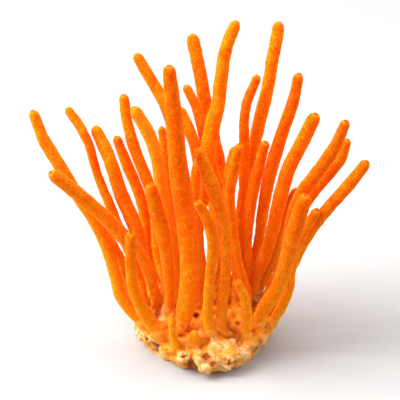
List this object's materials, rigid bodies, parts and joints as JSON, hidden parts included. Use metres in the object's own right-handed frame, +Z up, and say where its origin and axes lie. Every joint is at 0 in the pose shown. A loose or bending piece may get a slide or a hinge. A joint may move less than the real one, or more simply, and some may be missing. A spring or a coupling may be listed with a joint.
{
  "type": "cordyceps bunch",
  "caption": "Bunch of cultivated cordyceps: slender orange clubs that fan up and out of a lumpy cream and orange pad cut flat underneath.",
  "frame": {"origin": "middle of the flat cut under the pad, on the surface that the bunch stands on", "axes": "+Z up, the way most of the clubs grow; -Y towards the side that the picture shows; +X to the right as seen from there"},
  "size_m": [0.0845, 0.0533, 0.0807],
  "materials": {
    "club_orange": "velvety, finely grained, a little see-through at the tips",
    "pad_cream": "matt, lumpy and pitted, cream with orange patches"
  },
  "bodies": {
    "root": {"club_left_outer": "club_orange", "club_left_low": "club_orange", "club_left_sweeping": "club_orange", "club_left_front": "club_orange", "club_left_thin": "club_orange", "club_left_broad": "club_orange", "club_left_shaded": "club_orange", "club_left_upright": "club_orange", "club_left_inner_front": "club_orange", "club_left_inner": "club_orange", "club_middle_thick": "club_orange", "club_middle_small": "club_orange", "club_middle_leaning": "club_orange", "club_middle_tall_left": "club_orange", "club_middle_tall_right": "club_orange", "club_middle_speckled": "club_orange", "club_middle_front": "club_orange", "club_middle_slim": "club_orange", "club_middle_slanting": "club_orange", "club_middle_inner": "club_orange", "club_right_tall": "club_orange", "club_right_thin": "club_orange", "club_right_curved": "club_orange", "club_right_broad": "club_orange", "club_right_outer_upper": "club_orange", "club_right_outer_behind": "club_orange", "club_right_outer": "club_orange", "club_right_front": "club_orange", "club_right_low": "club_orange", "club_right_winding": "club_orange", "club_right_twin": "club_orange", "club_right_middle": "club_orange", "club_right_front_short": "club_orange", "club_right_hooked": "club_orange", "club_stub_left": "club_orange", "club_stub_middle": "club_orange", "club_back_far_left": "club_orange", "club_back_left": "club_orange", "club_back_middle_left": "club_orange", "club_back_middle_right": "club_orange", "club_back_right": "club_orange", "pad": "pad_cream"}
  },
  "joints": []
}
